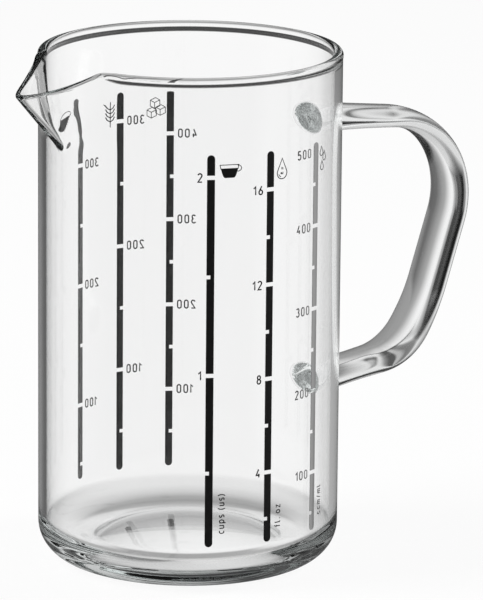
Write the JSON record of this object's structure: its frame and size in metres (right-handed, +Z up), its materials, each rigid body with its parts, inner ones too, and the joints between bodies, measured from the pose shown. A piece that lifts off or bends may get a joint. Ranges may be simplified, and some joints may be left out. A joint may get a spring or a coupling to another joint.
{
  "type": "measuring jug",
  "caption": "Straight-sided clear glass measuring jug with a pulled V spout, a solid glass strap handle and black printed volume and weight scales.",
  "frame": {"origin": "on the jug's axis, in the plane of the standing ring under the base", "axes": "+Z up along the axis of the body, +X towards the handle, -X towards the spout"},
  "size_m": [0.139, 0.0802, 0.1374],
  "materials": {
    "clear_glass": "clear, fire-polished",
    "handle_glass": "clear, solid, fire-polished",
    "black_print": "fired black enamel, satin"
  },
  "bodies": {
    "root": {"glass_body": "clear_glass", "handle": "handle_glass", "cups_scale": "black_print", "fluid_ounce_scale": "black_print", "millilitre_scale": "black_print", "sugar_scale": "black_print", "flour_scale": "black_print", "semolina_scale": "black_print"}
  },
  "joints": []
}
